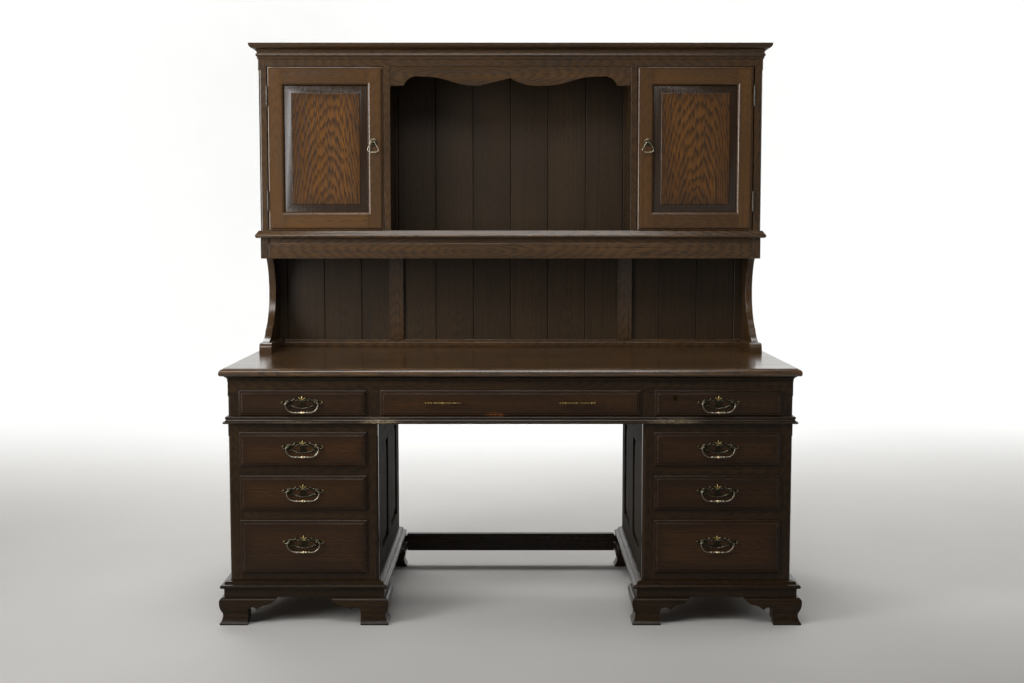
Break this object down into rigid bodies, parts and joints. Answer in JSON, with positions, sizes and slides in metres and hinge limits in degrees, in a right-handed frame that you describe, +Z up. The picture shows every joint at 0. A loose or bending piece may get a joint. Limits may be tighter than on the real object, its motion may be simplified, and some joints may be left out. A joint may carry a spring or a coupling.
{
  "type": "pedestal desk with hutch",
  "caption": "Free-standing dark oak pedestal desk with drawers, drop handles and ogee bracket feet, carrying a hutch with panelled cupboard doors, an open niche and shaped brackets.",
  "frame": {"origin": "on the floor, under the middle of the bounding box", "axes": "+X to the right of a person who faces the drawers, +Y from the drawers to the back, +Z up"},
  "size_m": [1.646, 0.755, 1.691],
  "materials": {
    "case_oak": "dark stain under semi-gloss varnish",
    "top_oak": "dark stain under semi-gloss varnish, worn",
    "drawer_oak": "dark stain under semi-gloss varnish",
    "door_oak": "amber stain under semi-gloss varnish",
    "back_oak": "very dark stain, matt",
    "bronze": "dark patina with rubbed edges",
    "brass": "dull, tarnished"
  },
  "bodies": {
    "desk": {"desktop": "top_oak", "bed_moulding": "case_oak", "frieze_face_frame": "case_oak", "frieze_uprights": "case_oak", "desk_backs": "back_oak", "waist_board": "case_oak", "pedestal_side_frames": "case_oak", "pedestal_side_panels": "case_oak", "pedestal_face_frames": "case_oak", "pedestal_bottoms": "case_oak", "drawer_runners": "case_oak", "plinths": "case_oak", "bracket_feet": "case_oak", "rear_stretcher": "case_oak", "hutch_shoes": "case_oak", "hutch_brackets": "case_oak", "shelf_apron": "case_oak", "mid_shelf": "top_oak", "hutch_uprights": "case_oak", "hutch_face_frame": "case_oak", "hutch_top": "case_oak", "cornice": "case_oak", "valance": "case_oak", "hutch_back_boards": "back_oak", "hutch_back_battens": "back_oak", "hinge_frame_leaves": "brass", "door_catches": "case_oak"},
    "left_pedestal_upper_drawer": {"left_pedestal_upper_drawer": "drawer_oak", "left_pedestal_upper_plate": "bronze"},
    "left_pedestal_upper_bail": {"left_pedestal_upper_bail": "bronze"},
    "left_pedestal_middle_drawer": {"left_pedestal_middle_drawer": "drawer_oak", "left_pedestal_middle_plate": "bronze"},
    "left_pedestal_middle_bail": {"left_pedestal_middle_bail": "bronze"},
    "left_pedestal_lower_drawer": {"left_pedestal_lower_drawer": "drawer_oak", "left_pedestal_lower_plate": "bronze"},
    "left_pedestal_lower_bail": {"left_pedestal_lower_bail": "bronze"},
    "left_frieze_drawer": {"left_frieze_drawer": "drawer_oak", "left_frieze_plate": "bronze"},
    "left_frieze_bail": {"left_frieze_bail": "bronze"},
    "right_pedestal_upper_drawer": {"right_pedestal_upper_drawer": "drawer_oak", "right_pedestal_upper_plate": "bronze"},
    "right_pedestal_upper_bail": {"right_pedestal_upper_bail": "bronze"},
    "right_pedestal_middle_drawer": {"right_pedestal_middle_drawer": "drawer_oak", "right_pedestal_middle_plate": "bronze"},
    "right_pedestal_middle_bail": {"right_pedestal_middle_bail": "bronze"},
    "right_pedestal_lower_drawer": {"right_pedestal_lower_drawer": "drawer_oak", "right_pedestal_lower_plate": "bronze"},
    "right_pedestal_lower_bail": {"right_pedestal_lower_bail": "bronze"},
    "right_frieze_drawer": {"right_frieze_drawer": "drawer_oak", "right_frieze_plate": "bronze"},
    "right_frieze_bail": {"right_frieze_bail": "bronze"},
    "right_frieze_lock": {"right_frieze_lock": "brass"},
    "centre_frieze_drawer": {"centre_frieze_drawer": "drawer_oak", "centre_drawer_pulls": "bronze"},
    "left_door": {"left_door": "door_oak", "left_door_fittings": "brass"},
    "left_door_ring": {"left_door_ring": "brass"},
    "right_door": {"right_door": "door_oak", "right_door_fittings": "brass"},
    "right_door_ring": {"right_door_ring": "brass"}
  },
  "joints": [
    {"name": "left_pedestal_upper_drawer_slide", "type": "slide", "parent": "desk", "child": "left_pedestal_upper_drawer", "axis": [0, -1, 0], "range_m": [0, 0.4]},
    {"name": "left_pedestal_upper_bail_swing", "type": "hinge", "parent": "left_pedestal_upper_drawer", "child": "left_pedestal_upper_bail", "pos_m": [-0.5835, -0.3695, 0.506], "axis": [-1, 0, 0], "range_deg": [0, 85]},
    {"name": "left_pedestal_middle_drawer_slide", "type": "slide", "parent": "desk", "child": "left_pedestal_middle_drawer", "axis": [0, -1, 0], "range_m": [0, 0.4]},
    {"name": "left_pedestal_middle_bail_swing", "type": "hinge", "parent": "left_pedestal_middle_drawer", "child": "left_pedestal_middle_bail", "pos_m": [-0.5835, -0.3695, 0.381], "axis": [-1, 0, 0], "range_deg": [0, 85]},
    {"name": "left_pedestal_lower_drawer_slide", "type": "slide", "parent": "desk", "child": "left_pedestal_lower_drawer", "axis": [0, -1, 0], "range_m": [0, 0.4]},
    {"name": "left_pedestal_lower_bail_swing", "type": "hinge", "parent": "left_pedestal_lower_drawer", "child": "left_pedestal_lower_bail", "pos_m": [-0.5835, -0.3695, 0.235], "axis": [-1, 0, 0], "range_deg": [0, 85]},
    {"name": "left_frieze_drawer_slide", "type": "slide", "parent": "desk", "child": "left_frieze_drawer", "axis": [0, -1, 0], "range_m": [0, 0.4]},
    {"name": "left_frieze_bail_swing", "type": "hinge", "parent": "left_frieze_drawer", "child": "left_frieze_bail", "pos_m": [-0.5835, -0.3695, 0.63175], "axis": [-1, 0, 0], "range_deg": [0, 85]},
    {"name": "right_pedestal_upper_drawer_slide", "type": "slide", "parent": "desk", "child": "right_pedestal_upper_drawer", "axis": [0, -1, 0], "range_m": [0, 0.4]},
    {"name": "right_pedestal_upper_bail_swing", "type": "hinge", "parent": "right_pedestal_upper_drawer", "child": "right_pedestal_upper_bail", "pos_m": [0.5835, -0.3695, 0.506], "axis": [-1, 0, 0], "range_deg": [0, 85]},
    {"name": "right_pedestal_middle_drawer_slide", "type": "slide", "parent": "desk", "child": "right_pedestal_middle_drawer", "axis": [0, -1, 0], "range_m": [0, 0.4]},
    {"name": "right_pedestal_middle_bail_swing", "type": "hinge", "parent": "right_pedestal_middle_drawer", "child": "right_pedestal_middle_bail", "pos_m": [0.5835, -0.3695, 0.381], "axis": [-1, 0, 0], "range_deg": [0, 85]},
    {"name": "right_pedestal_lower_drawer_slide", "type": "slide", "parent": "desk", "child": "right_pedestal_lower_drawer", "axis": [0, -1, 0], "range_m": [0, 0.4]},
    {"name": "right_pedestal_lower_bail_swing", "type": "hinge", "parent": "right_pedestal_lower_drawer", "child": "right_pedestal_lower_bail", "pos_m": [0.5835, -0.3695, 0.235], "axis": [-1, 0, 0], "range_deg": [0, 85]},
    {"name": "right_frieze_drawer_slide", "type": "slide", "parent": "desk", "child": "right_frieze_drawer", "axis": [0, -1, 0], "range_m": [0, 0.4]},
    {"name": "right_frieze_bail_swing", "type": "hinge", "parent": "right_frieze_drawer", "child": "right_frieze_bail", "pos_m": [0.5835, -0.3695, 0.63175], "axis": [-1, 0, 0], "range_deg": [0, 85]},
    {"name": "right_frieze_lock_turn", "type": "hinge", "parent": "right_frieze_drawer", "child": "right_frieze_lock", "pos_m": [0.463, -0.36, 0.645], "axis": [0, -1, 0], "range_deg": [0, 90]},
    {"name": "centre_frieze_drawer_slide", "type": "slide", "parent": "desk", "child": "centre_frieze_drawer", "axis": [0, -1, 0], "range_m": [0, 0.4]},
    {"name": "left_door_hinge", "type": "hinge", "parent": "desk", "child": "left_door", "pos_m": [-0.7615, 0.1554, 1.366], "axis": [0, 0, -1], "range_deg": [0, 110]},
    {"name": "left_door_ring_swing", "type": "hinge", "parent": "left_door", "child": "left_door_ring", "pos_m": [-0.429, 0.14, 1.3855], "axis": [-1, 0, 0], "range_deg": [0, 85]},
    {"name": "right_door_hinge", "type": "hinge", "parent": "desk", "child": "right_door", "pos_m": [0.7615, 0.1554, 1.366], "axis": [0, 0, 1], "range_deg": [0, 110]},
    {"name": "right_door_ring_swing", "type": "hinge", "parent": "right_door", "child": "right_door_ring", "pos_m": [0.429, 0.14, 1.3855], "axis": [-1, 0, 0], "range_deg": [0, 85]}
  ]
}
